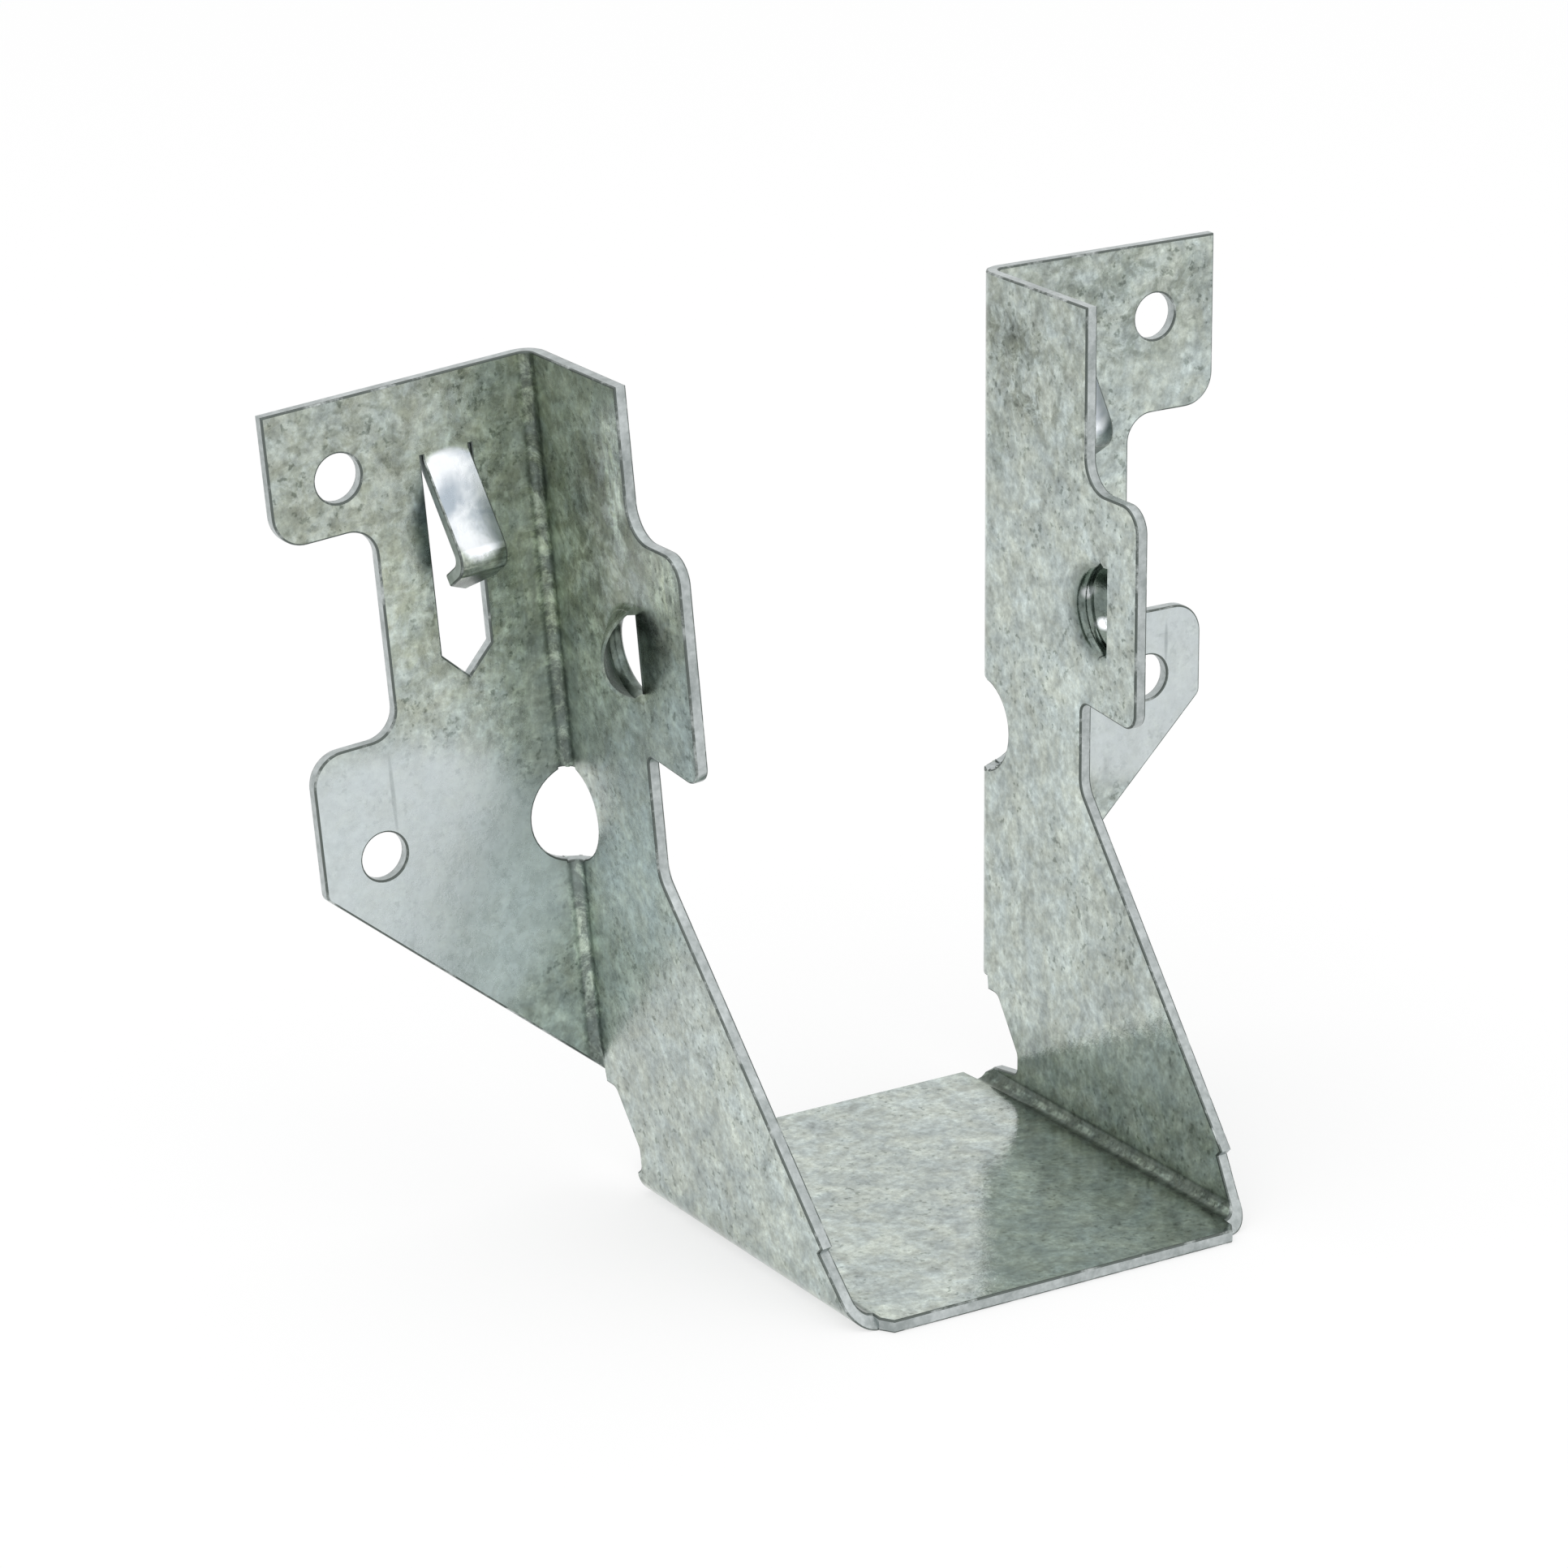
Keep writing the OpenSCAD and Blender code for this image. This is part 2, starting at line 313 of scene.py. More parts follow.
    def mix(
        self, factor: object, under: object, over: object, blend: Blend = Blend.MIX
    ) -> bpy.types.NodeSocket:
        """Lays one colour over another.

        Args:
            factor: How much of the upper colour shows.
            under: The lower colour.
            over: The upper colour.
            blend: How it is laid.

        Returns:
            The mixed colour.
        """
        node = self.tree.nodes.new("ShaderNodeMix")
        node.data_type = "RGBA"
        node.blend_type = blend.value
        self.feed(node.inputs["Factor"], factor)
        self.feed(node.inputs[6], under)
        self.feed(node.inputs[7], over)
        return node.outputs[2]

    def between(self, factor: bpy.types.NodeSocket, low: float, high: float) -> bpy.types.NodeSocket:
        """Spreads a factor from 0 to 1 over another span.

        Args:
            factor: The factor that is read.
            low: The value at 0.
            high: The value at 1.

        Returns:
            The spread value.
        """
        node = self.tree.nodes.new("ShaderNodeMapRange")
        node.clamp = True
        self.feed(node.inputs["Value"], factor)
        node.inputs["To Min"].default_value = low
        node.inputs["To Max"].default_value = high
        return node.outputs["Result"]

    def rgb(self, colour: Colour) -> bpy.types.NodeSocket:
        """Adds a plain colour for a pattern to vary."""
        node = self.tree.nodes.new("ShaderNodeRGB")
        node.outputs[0].default_value = (*colour, 1.0)
        return node.outputs[0]

    def tint(self, colour: bpy.types.NodeSocket, tone: Colour, factor: object) -> bpy.types.NodeSocket:
        """Multiplies a colour by a tone, which may also lighten it.

        Args:
            colour: The colour that is toned.
            tone: What it is multiplied by.
            factor: How much of the tone shows.

        Returns:
            The toned colour.
        """
        return self.mix(factor, colour, tone, Blend.MULTIPLY)

    def vary(
        self, colour: bpy.types.NodeSocket, factor: bpy.types.NodeSocket, greys: Span
    ) -> bpy.types.NodeSocket:
        """Multiplies a colour by a grey that follows a pattern.

        Args:
            colour: The colour that is varied.
            factor: The pattern, from 0 to 1.
            greys: The grey at 0 and the grey at 1.

        Returns:
            The varied colour.
        """
        return self.mix(1.0, colour, self.between(factor, *greys), Blend.MULTIPLY)

    def patch(self, centre: Place, reach: Place, turn: float, soft: float) -> bpy.types.NodeSocket:
        """Marks a soft-edged patch of the piece.

        Args:
            centre: Its middle in millimetres.
            reach: How far it reaches along its own X, Y and Z in millimetres.
            turn: How far it is turned about Y.
            soft: The share of the reach over which it fades.

        Returns:
            1 in the patch and 0 outside it.
        """
        node = self.tree.nodes.new("ShaderNodeMapping")
        node.vector_type = "TEXTURE"
        node.inputs["Location"].default_value = centre
        node.inputs["Rotation"].default_value = (0.0, turn, 0.0)
        node.inputs["Scale"].default_value = reach
        self.link(self.place, node.inputs["Vector"])
        length = self.tree.nodes.new("ShaderNodeVectorMath")
        length.operation = "LENGTH"
        self.link(node.outputs["Vector"], length.inputs[0])
        return self.ramp(length.outputs["Value"], 1.0, 1.0 - soft, Ramp.SOFT)

    def facing(self, centre: Place) -> bpy.types.NodeSocket:
        """Marks the surfaces that face a place.

        Args:
            centre: The place in millimetres.

        Returns:
            1 where the surface faces it and 0 where it faces away.
        """
        away = self.tree.nodes.new("ShaderNodeVectorMath")
        away.operation = "SUBTRACT"
        self.link(self.place, away.inputs[0])
        away.inputs[1].default_value = centre
        turned = self.tree.nodes.new("ShaderNodeVectorMath")
        turned.operation = "DOT_PRODUCT"
        self.link(away.outputs["Vector"], turned.inputs[0])
        self.link(self.normal, turned.inputs[1])
        return self.ramp(turned.outputs["Value"], EDGE_ON, -EDGE_ON)

    def relief(self, height: bpy.types.NodeSocket, depth_mm: float, strength: float) -> bpy.types.NodeSocket:
        """Turns a height into a bumped normal.

        Args:
            height: The height, from 0 to 1.
            depth_mm: How high 1 stands, in millimetres.
            strength: How much of it shows.

        Returns:
            The normal.
        """
        node = self.tree.nodes.new("ShaderNodeBump")
        node.inputs["Strength"].default_value = strength
        node.inputs["Distance"].default_value = depth_mm * MM
        self.link(height, node.inputs["Height"])
        return node.outputs["Normal"]

    def metal(self, colour: bpy.types.NodeSocket, roughness: object, normal: bpy.types.NodeSocket) -> None:
        """Closes the tree with a metal surface.

        Args:
            colour: Its colour.
            roughness: Its roughness, as a socket or number.
            normal: Its bumped normal.
        """
        node = self.tree.nodes.new("ShaderNodeBsdfPrincipled")
        node.inputs["Metallic"].default_value = 1.0
        self.feed(node.inputs["Base Color"], colour)
        self.feed(node.inputs["Roughness"], roughness)
        self.link(normal, node.inputs["Normal"])
        self.link(node.outputs["BSDF"], self.output.inputs["Surface"])


@dataclass(frozen=True)
class Side:
    """One side of the hanger: a plate with its flange, which leans about the lower fold.

    A place on it is given before it leans, in millimetres: outwards from the joist's middle, forwards from
    the header's face and up from the underside.
    """

    hand: int
    lean: float = 0.0
    fold_shift: float = 0.0
    dome_forward: float = 21.2
    dome_up: float = 52.7
    joist_face: float = 19.85
    prong_offset: float = 8.6
    hinge_out: float = 18.65
    hinge_up: float = 2.4
    sheet_t: float = 1.2
    seat_l: float = 44.5

    @property
    def turn(self) -> float:
        """The angle about Y through which it leans."""
        return self.hand * self.lean

    @property
    def prong_out(self) -> float:
        """How far outwards the middle of its prong lies."""
        return self.joist_face + self.fold_shift + self.prong_offset

    @property
    def mouth(self) -> float:
        """Y of the mouth of its dome."""
        return self.seat_l / 2 - self.dome_forward

    def at_dome(self, out: float, forward: float, up: float) -> Place:
        """Gives a place by how far it lies from the dome's middle at the joist's face."""
        return (self.joist_face + out, self.dome_forward + forward, self.dome_up + up)

    def place(self, out: float, forward: float, up: float) -> Place:
        """Gives a place on the leaning side in the part's frame.

        Args:
            out: Outwards from the joist's middle.
            forward: Forwards from the header's face.
            up: Up from the underside.

        Returns:
            X, Y and Z in millimetres.
        """
        out, up = out - self.hinge_out, up - self.hinge_up
        cos, sin = math.cos(self.lean), math.sin(self.lean)
        return (
            self.hand * (self.hinge_out + out * cos + up * sin),
            self.seat_l / 2 - forward,
            self.hinge_up + up * cos - out * sin - self.sheet_t,
        )

    def local(self, place: Vector) -> Place:
        """Turns a place in the part's frame back into one on the upright side.

        Args:
            place: X, Y and Z in metres.

        Returns:
            Outwards, forwards and up in millimetres.
        """
        out = self.hand * place.x / MM - self.hinge_out
        up = place.z / MM + self.sheet_t - self.hinge_up
        cos, sin = math.cos(self.lean), math.sin(self.lean)
        return (
            self.hinge_out + out * cos - up * sin,
            self.seat_l / 2 - place.y / MM,
            self.hinge_up + up * cos + out * sin,
        )


RIGHT = Side(hand=1)
LEFT = Side(hand=-1, lean=math.radians(4.9), fold_shift=1.4, dome_forward=16.1, dome_up=55.9)


@dataclass(frozen=True)
class Zone:
    """A soft-edged ellipsoid on one side of the sheet, placed before the side leans."""

    side: Side
    centre: Place
    reach: Place
    soft: float

    def shape(self, bench: ShaderBench) -> bpy.types.NodeSocket:
        """Marks it in a material, with 1 in the zone and 0 outside."""
        return bench.patch(self.side.place(*self.centre), self.reach, self.side.turn, self.soft)


@dataclass(frozen=True)
class Mark:
    """A soft-edged stain, rubbed place, shine, painted shade or painted light on one side of the sheet."""

    side: Side
    centre: Place
    reach: Place
    tone: Colour
    soft: float = 0.7
    broken: float = 0.0
    streaked: bool = False
    strength: float = 1.0
    blend: Blend = Blend.MULTIPLY

    @property
    def zone(self) -> Zone:
        """Where it lies."""
        return Zone(self.side, self.centre, self.reach, self.soft)


@dataclass(frozen=True)
class Layer:
    """One layer over a fold's hollow: how wide it reaches, its tone and what breaks it up."""

    reach: float
    tone: Colour
    soft: float
    broken_by: Pattern | None = None


@dataclass(frozen=True)
class Fold:
    """A fold's hollow: a line along one axis, through a place on one side, under its layers."""

    side: Side
    middle: Place
    axis: int
    layers: tuple[Layer, ...]


@dataclass(frozen=True)
class Glint:
    """A painted highlight: a small bright spot, on the inner surface alone where it says so."""

    zone: Zone
    strength: float
    inner: bool = True


LEFT_MARKS = (
    # The duller upper part of the plate and flange
    Mark(LEFT, (34.0, 6.0, 74.0), (24.0, 40.0, 33.0), (0.98, 0.97, 0.94), 0.35, 0.3),
    # Dirt in blotches over the upper flange
    Mark(LEFT, (30.0, 2.0, 68.0), (30.0, 20.0, 26.0), (0.76, 0.76, 0.72), 0.5, 1.0),
    # A little shade on both sides of the fold
    Mark(LEFT, (22.0, 1.0, 62.0), (10.0, 12.0, 30.0), (0.97, 0.98, 0.96), 0.8, 0.4),
    # Dark streaks beside the fold
    Mark(LEFT, (21.0, 3.5, 66.0), (3.0, 4.0, 22.0), (0.74, 0.75, 0.73), 0.9, 1.0, True),
    # Dirt in blotches over the plate
    Mark(LEFT, (21.0, 12.0, 58.0), (3.0, 12.0, 24.0), (0.74, 0.75, 0.72), 0.6, 1.0),
    # Bright streaks at the plate's upper front edge
    Mark(LEFT, (21.0, 14.5, 70.0), (3.0, 2.6, 11.0), (1.8, 1.8, 1.72), 0.9, 1.0, True),
    # Painted light on the tab, in bright streaks
    Mark(LEFT, (21.0, 21.5, 62.5), (3.0, 3.6, 6.0), (1.9, 1.9, 1.80), 0.9, 1.0, True),
    # Painted shadow of the prong along the outer side of its slot
    Mark(LEFT, (32.5, 1.2, 66.0), (2.0, 3.0, 6.5), (0.40, 0.46, 0.52), 0.9, 0.1),
    # The clean, pale lower ear
    Mark(
        LEFT, (42.0, 1.0, 32.0), (23.0, 5.0, 17.5), (0.66, 0.72, 0.74), 0.25, 0.15,
        strength=0.75,
        blend=Blend.MIX,
    ),
    # The rubbed outer edge of the waist
    Mark(LEFT, (36.5, 1.0, 58.0), (5.0, 4.0, 13.0), (1.18, 1.18, 1.17), 0.8, 0.3),
    # Bright streaks over the flange and the fold
    Mark(LEFT, (27.0, 6.0, 60.0), (12.0, 14.0, 26.0), (1.35, 1.36, 1.33), 0.7, 1.0, True),
    # A crease above the lower nail hole
    Mark(LEFT, (38.6, 1.0, 42.9), (0.28, 3.0, 4.8), (0.72, 0.73, 0.73), 0.6, 0.4),
    # The lighter foot of the flange
    Mark(LEFT, (26.0, 1.0, 22.0), (9.0, 5.0, 16.0), (1.30, 1.31, 1.32), 0.6, 0.4),
    # The lighter front of the plate's foot
    Mark(LEFT, (21.0, 34.0, 14.0), (3.0, 14.0, 18.0), (1.20, 1.20, 1.20), 0.6, 0.3),
)
RIGHT_MARKS = (
    # A dark stain in the plate's upper back corner
    Mark(RIGHT, (19.8, 5.0, 74.0), (4.0, 7.5, 4.2), (0.50, 0.51, 0.48), 0.8, 0.5),
    # A blotch below it
    Mark(RIGHT, (19.8, 9.0, 69.0), (4.0, 6.0, 2.6), (0.62, 0.62, 0.59), 0.8, 1.0),
    # A stain beside the fold
    Mark(RIGHT, (19.8, 3.5, 63.5), (4.0, 2.4, 4.6), (0.70, 0.72, 0.70), 0.8, 0.6),
    # Dirt in blotches over the plate's top
    Mark(RIGHT, (19.8, 12.0, 75.0), (4.0, 26.0, 16.0), (0.78, 0.78, 0.75), 0.6, 1.0),
    # Painted shade over the plate's foot, along the lower fold
    Mark(RIGHT, (19.8, 24.0, 3.0), (4.0, 40.0, 8.0), (0.58, 0.60, 0.56), 0.5, 0.4),
    # Dirt in blotches over the flange's top
    Mark(RIGHT, (34.0, 1.0, 75.0), (16.0, 5.0, 11.0), (0.66, 0.67, 0.64), 0.6, 1.0),
    # The clean, pale lower ear
    Mark(
        RIGHT, (42.0, 1.0, 38.0), (22.0, 5.0, 13.0), (0.60, 0.65, 0.665), 0.3, 0.2,
        strength=0.8,
        blend=Blend.MIX,
    ),
    # A crease on it
    Mark(RIGHT, (40.7, 1.0, 40.5), (0.26, 3.0, 2.6), (0.72, 0.73, 0.73), 0.6, 0.3),
    # Painted shade on the prong's outer side
    Mark(RIGHT, (29.9, 4.0, 65.0), (1.7, 8.0, 7.5), (0.34, 0.38, 0.40), 0.8, 0.0),
    # A scratch across the seat
    Mark(RIGHT, (-4.5, 19.0, 2.4), (9.0, 0.3, 2.0), (0.66, 0.67, 0.66), 0.7, 0.6),
)

# Painted shade over the folds: a wide soft layer and a darker crease, with light flecks over them
CREASE_SHADE: Colour = (0.38, 0.40, 0.39)
LIGHT_FLECKS = Layer(1.4, (2.5, 2.5, 2.42), 0.6, Pattern(0.3, 8.0, 0.8, 0.48, 0.60, distortion=0.5))
FINE_LIGHT_FLECKS = Layer(0.4, (2.2, 2.2, 2.2), 0.6, Pattern(0.5, 6.0, 0.7, 0.46, 0.60))
SHADED = Layer(3.4, (0.88, 0.89, 0.87), 0.9)
FOLDS = (
    Fold(LEFT, (21.34, 1.5, 45.0), 2, (SHADED, Layer(1.25, CREASE_SHADE, 0.5), LIGHT_FLECKS)),
    Fold(RIGHT, (19.5, 22.0, 1.55), 1, (SHADED, Layer(1.15, CREASE_SHADE, 0.4), FINE_LIGHT_FLECKS)),
    Fold(LEFT, (19.5, 22.0, 1.55), 1, (SHADED, Layer(1.15, CREASE_SHADE, 0.4), FINE_LIGHT_FLECKS)),
)
# Painted shade in the hollows behind the domes' mouths
HOLLOWS = (
    Zone(RIGHT, RIGHT.at_dome(1.6, -1.6, -1.0), (6.0, 5.6, 6.0), 0.42),
    Zone(LEFT, LEFT.at_dome(1.6, -1.6, -1.0), (6.0, 4.4, 4.8), 0.3),
)
# Painted highlights: along the left dome's lip and on two spots in the right dome's hollow
GLINTS = (
    Glint(Zone(LEFT, LEFT.at_dome(1.3, 0.2, -1.2), (0.9, 0.28, 5.6), 0.6), 0.5, inner=False),
    Glint(Zone(RIGHT, RIGHT.at_dome(0.9, -4.1, 0.2), (0.9, 1.0, 0.8), 0.6), 0.5),
    Glint(Zone(RIGHT, RIGHT.at_dome(2.0, -3.0, -2.7), (1.2, 1.2, 0.75), 0.6), 1.0),
)
MATT = (
    Zone(LEFT, (21.0, 12.0, 52.0), (4.0, 30.0, 52.0), 0.3),
    Zone(LEFT, (33.0, 1.0, 52.0), (16.0, 6.0, 46.0), 0.3),
)


@dataclass(frozen=True)
class GalvanisedFinish:
    """Hot-dip galvanised sheet: a mottled grey-green spangle with specks, stains and bright metal, and
    painted shade and highlights at its folds, domes and prongs.
    """

    zinc: Colour = (0.455, 0.508, 0.484)
    warm: Colour = (1.03, 1.01, 0.95)
    cool: Colour = (0.98, 1.00, 1.02)
    speck_tone: Colour = (0.55, 0.57, 0.55)
    # Painted shade of the domes' hollows and of the prongs' outer sides and knees
    painted_shade: Colour = (0.34, 0.37, 0.36)
    # The near-white of the painted highlights on the prongs' upper legs, partly brighter stretched zinc, and
    # of the domes' glints
    stretched: Colour = (0.94, 0.97, 1.0)
    highlight_grey: Colour = (0.44, 0.50, 0.56)
    crystal_per_mm: float = 0.22
    crystal_sway: Place = (6.0, -5.0, 4.0)
    crystal_greys: Span = (0.94, 1.06)
    cloud: Pattern = Pattern(0.32, 7.0, 0.68, 0.34, 0.66, distortion=0.6)
    cloud_greys: Span = (0.80, 1.18)
    fleck: Pattern = Pattern(0.95, 4.0, 0.6, 0.36, 0.64)
    fleck_greys: Span = (0.82, 1.18)
    curl: Pattern = Pattern(0.17, 6.0, 0.72, 0.40, 0.62, distortion=2.2, stretch=(1.0, 1.0, 0.55))
    curl_greys: Span = (0.90, 1.10)
    grain: Pattern = Pattern(2.4, 3.0, 0.6, 0.32, 0.68)
    grain_greys: Span = (0.87, 1.13)
    hue: Pattern = Pattern(0.3, 5.0, 0.7, 0.38, 0.62, distortion=0.4)
    speck: Pattern = Pattern(1.5, 2.5, 0.55, 0.58, 0.67)
    thick: Pattern = Pattern(0.14, 3.0, 0.6, 0.38, 0.56, way=Ramp.SOFT)
    blotch: Pattern = Pattern(0.42, 7.0, 0.7, 0.42, 0.58, distortion=0.7, way=Ramp.SOFT)
    streak: Pattern = Pattern(1.0, 6.0, 0.65, 0.42, 0.60, distortion=0.3, stretch=(1.0, 1.0, 0.28))
    # Grey patches in the prongs' painted highlight
    highlight_patches: Pattern = Pattern(0.25, 3.0, 0.5, 0.40, 0.70, distortion=0.3, way=Ramp.SOFT)
    roughness: Span = (0.07, 0.17)
    matt_roughness: float = 0.16
    relief_mm: float = 0.02
    relief_strength: float = 0.35
    marks: tuple[Mark, ...] = LEFT_MARKS + RIGHT_MARKS
    matt: tuple[Zone, ...] = MATT
    folds: tuple[Fold, ...] = FOLDS
    fold_reach: float = 90.0
    hollows: tuple[Zone, ...] = HOLLOWS
    glints: tuple[Glint, ...] = GLINTS
    dome_core: Place = (-0.5, -1.0, -0.6)
    behind_mouth: Span = (0.05, 0.12)
    before_flange: Span = (0.1, 0.3)
    prong_shade: float = 2.3

    def material(self) -> bpy.types.Material:
        """Builds the finish.

        Returns:
            The material.
        """
        bench = ShaderBench("galvanised_sheet")
        cloud, fleck, grain = bench.pattern(self.cloud), bench.pattern(self.fleck), bench.pattern(self.grain)
        colour = bench.rgb(self.zinc)
        for factor, greys in (
            (self._spangle(bench), self.crystal_greys),
            (cloud, self.cloud_greys),
            (fleck, self.fleck_greys),
            (bench.pattern(self.curl), self.curl_greys),
            (grain, self.grain_greys),
        ):
            colour = bench.vary(colour, factor, greys)
        hue = bench.mix(bench.pattern(self.hue), self.cool, self.warm)
        colour = bench.mix(1.0, colour, hue, Blend.MULTIPLY)
        for dress in (self._specks, self._marks, self._folds, self._domes, self._prongs):
            colour = dress(bench, colour)
        wear = bench.math("ADD", bench.product(cloud, 0.5), bench.product(fleck, 0.5))
        rough = bench.between(wear, *self.roughness)
        for zone in self.matt:
            rough = bench.math("ADD", rough, bench.product(zone.shape(bench), self.matt_roughness))
        height = bench.math("ADD", bench.product(grain, 0.5), cloud)
        bench.metal(colour, rough, bench.relief(height, self.relief_mm, self.relief_strength))
        return bench.material

    def _spangle(self, bench: ShaderBench) -> bpy.types.NodeSocket:
        """Adds the zinc crystals, shifted by a noise so that their borders wander.

        Args:
            bench: The material's bench.

        Returns:
            The grey of the crystals.
        """
        swirl = bench.noise(per_mm=0.35, detail=3.0, roughness=0.5, distortion=1.2)
        spread = bench.tree.nodes.new("ShaderNodeCombineXYZ")
        for axis in range(3):
            bench.link(swirl, spread.inputs[axis])
        shift = bench.tree.nodes.new("ShaderNodeVectorMath")
        shift.operation = "MULTIPLY_ADD"
        bench.link(spread.outputs["Vector"], shift.inputs[0])
        shift.inputs[1].default_value = self.crystal_sway
        bench.link(bench.place, shift.inputs[2])
        return bench.crystals(self.crystal_per_mm, shift.outputs["Vector"])

    def _specks(self, bench: ShaderBench, colour: bpy.types.NodeSocket) -> bpy.types.NodeSocket:
        """Strews small dark specks, thicker in some places than in others."""
        specks = bench.product(bench.pattern(self.speck), bench.pattern(self.thick))
        return bench.tint(colour, self.speck_tone, specks)

    def _marks(self, bench: ShaderBench, colour: bpy.types.NodeSocket) -> bpy.types.NodeSocket:
        """Lays the stains, rubbed places, shines, painted shade and painted light over the sheet, each broken
        up by the same two noises.

        Args:
            bench: The material's bench.
            colour: The colour below.

        Returns:
            The marked colour.
        """
        for mark in self.marks:
            pattern = bench.pattern(self.streak if mark.streaked else self.blotch)
            shown = bench.between(pattern, mark.strength * (1.0 - mark.broken), mark.strength)
            colour = bench.mix(bench.product(mark.zone.shape(bench), shown), colour, mark.tone, mark.blend)
        return colour

    def _folds(self, bench: ShaderBench, colour: bpy.types.NodeSocket) -> bpy.types.NodeSocket:
        """Paints shade into the hollows of the folds, broken by light flecks in places.

        Args:
            bench: The material's bench.
            colour: The colour below.

        Returns:
            The colour with its folds.
        """
        for fold in self.folds:
            for layer in fold.layers:
                reach = [layer.reach] * 3
                reach[fold.axis] = self.fold_reach
                shown = Zone(fold.side, fold.middle, tuple(reach), layer.soft).shape(bench)
                if layer.broken_by:
                    shown = bench.product(shown, bench.pattern(layer.broken_by))
                colour = bench.tint(colour, layer.tone, shown)
        return colour

    def _domes(self, bench: ShaderBench, colour: bpy.types.NodeSocket) -> bpy.types.NodeSocket:
        """Paints shade into the hollows behind the domes' mouths, and painted highlights on the left dome's
        lip and in the right dome's hollow.

        Args:
            bench: The material's bench.
            colour: The colour below.

        Returns:
            The colour with its domes.
        """
        inner = {side: bench.facing(side.place(*side.at_dome(*self.dome_core))) for side in (RIGHT, LEFT)}
        for zone in self.hollows:
            # Painted shade in each hollow, behind the mouth and on the inner surface only
            behind = bench.ramp(bench.back, *(zone.side.mouth + step for step in self.behind_mouth))
            colour = bench.tint(colour, self.painted_shade, bench.product(zone.shape(bench), behind, inner[zone.side]))
        # Painted highlights, near white
        for glint in self.glints:
            spot = bench.product(glint.zone.shape(bench), glint.strength)
            if glint.inner:
                spot = bench.product(spot, inner[glint.zone.side])
            colour = bench.mix(spot, colour, self.stretched)
        return colour

    def _prongs(self, bench: ShaderBench, colour: bpy.types.NodeSocket) -> bpy.types.NodeSocket:
        """Paints highlights on the prongs' upper legs, partly the brighter stretched zinc, and paints shade
        on their outer sides and over their knees and return legs.

        Args:
            bench: The material's bench.
            colour: The colour below.

        Returns:
            The colour with its prongs.
        """
        # Painted highlight on the prongs' upper legs, partly brighter stretched zinc, broken by grey patches
        bright = bench.mix(bench.pattern(self.highlight_patches), self.stretched, self.highlight_grey)
        face = RIGHT.seat_l / 2 - RIGHT.sheet_t
        proud = bench.ramp(bench.back, *(face - step for step in self.before_flange))
        for side in (RIGHT, LEFT):
            middle = side.prong_out
            root = Zone(side, (middle, 1.2, 71.3), (2.6, 1.6, 1.5), 0.3)
            leg = Zone(side, (middle, 5.0, 72.6), (4.0, 10.0, 9.6), 0.12)
            knee = Zone(side, (middle, 4.0, 58.8), (4.0, 8.0, 4.6), 0.3)
            shade = Zone(side, (middle + side.hand * self.prong_shade, 5.0, 65.4), (2.1, 8.0, 6.4), 0.8)
            highlit_area = bench.math("MAXIMUM", bench.product(leg.shape(bench), proud), root.shape(bench))
            colour = bench.mix(highlit_area, colour, bright)
            # Painted shade on the prong's outer side and over its knee
            for zone in (shade, knee):
                colour = bench.tint(colour, self.painted_shade, bench.product(zone.shape(bench), proud))
        return colour


@dataclass(frozen=True)
class ShearedFinish:
    """Cut edges of the sheet: bright where they tore, dull where zinc was dragged over them."""

    bright: Colour = (0.58, 0.62, 0.62)
    dull: Colour = (0.32, 0.355, 0.35)
    levels: Span = (0.4, 0.72)
    roughness: Span = (0.28, 0.5)
    relief_mm: float = 0.06
    relief_strength: float = 0.6

    def material(self) -> bpy.types.Material:
        """Builds the finish.

        Returns:
            The material.
        """
        bench = ShaderBench("sheared_edge")
        drag = bench.noise(per_mm=1.6, detail=5.0, roughness=0.6)
        stretches = bench.noise(per_mm=0.25, detail=3.0, roughness=0.5)
        tone = bench.math("ADD", bench.product(drag, 0.6), bench.product(stretches, 0.5))
        colour = bench.mix(bench.ramp(tone, *self.levels), self.dull, self.bright)
        relief = bench.relief(drag, self.relief_mm, self.relief_strength)
        bench.metal(colour, bench.between(drag, *self.roughness), relief)
        return bench.material


@dataclass(frozen=True)
class EasedFinish:
    """Eased corners between the faces and the cut edges: dark, with bright rubbed stretches."""

    dark: Colour = (0.13, 0.15, 0.14)
    rubbed: Colour = (0.50, 0.54, 0.53)
    wear: Pattern = Pattern(0.35, 6.0, 0.7, 0.52, 0.66)
    roughness: Span = (0.42, 0.26)
    relief_mm: float = 0.03
    relief_strength: float = 0.4

    def material(self) -> bpy.types.Material:
        """Builds the finish.

        Returns:
            The material.
        """
        bench = ShaderBench("eased_corner")
        wear = bench.pattern(self.wear)
        colour = bench.mix(wear, self.dark, self.rubbed)
        relief = bench.relief(wear, self.relief_mm, self.relief_strength)
        bench.metal(colour, bench.between(wear, *self.roughness), relief)
        return bench.material


